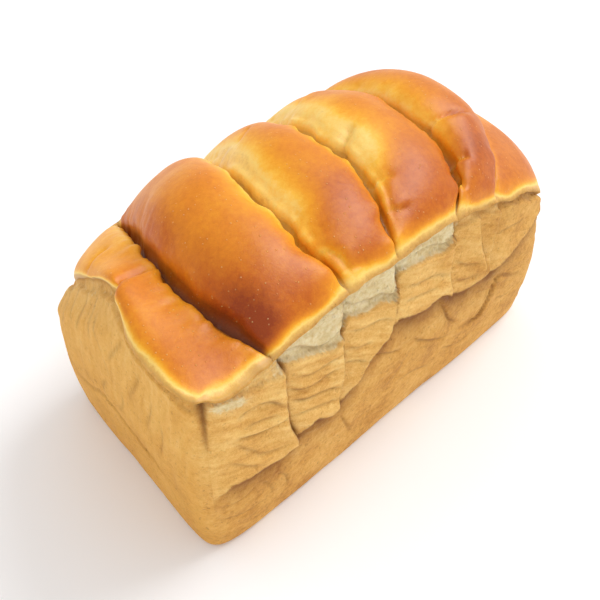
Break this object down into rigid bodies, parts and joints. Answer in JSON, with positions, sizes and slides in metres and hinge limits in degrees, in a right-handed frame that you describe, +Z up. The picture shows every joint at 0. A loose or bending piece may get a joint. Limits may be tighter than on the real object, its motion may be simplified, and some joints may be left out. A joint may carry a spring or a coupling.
{
  "type": "tin loaf",
  "caption": "White tin loaf with a straight-sided oblong body, a flat base and a row of rounded golden domes grown together along the top.",
  "frame": {"origin": "middle of the loaf's outline, at the height of its flat base", "axes": "+Z up, +X along the loaf from its low end dome to its high end, +Y towards the far long wall"},
  "size_m": [0.2504, 0.1342, 0.1519],
  "materials": {
    "crust": "baked bread crust: glossy brown and golden domes, pale torn bread under them, matte tan walls"
  },
  "bodies": {
    "root": {"loaf": "crust"}
  },
  "joints": []
}
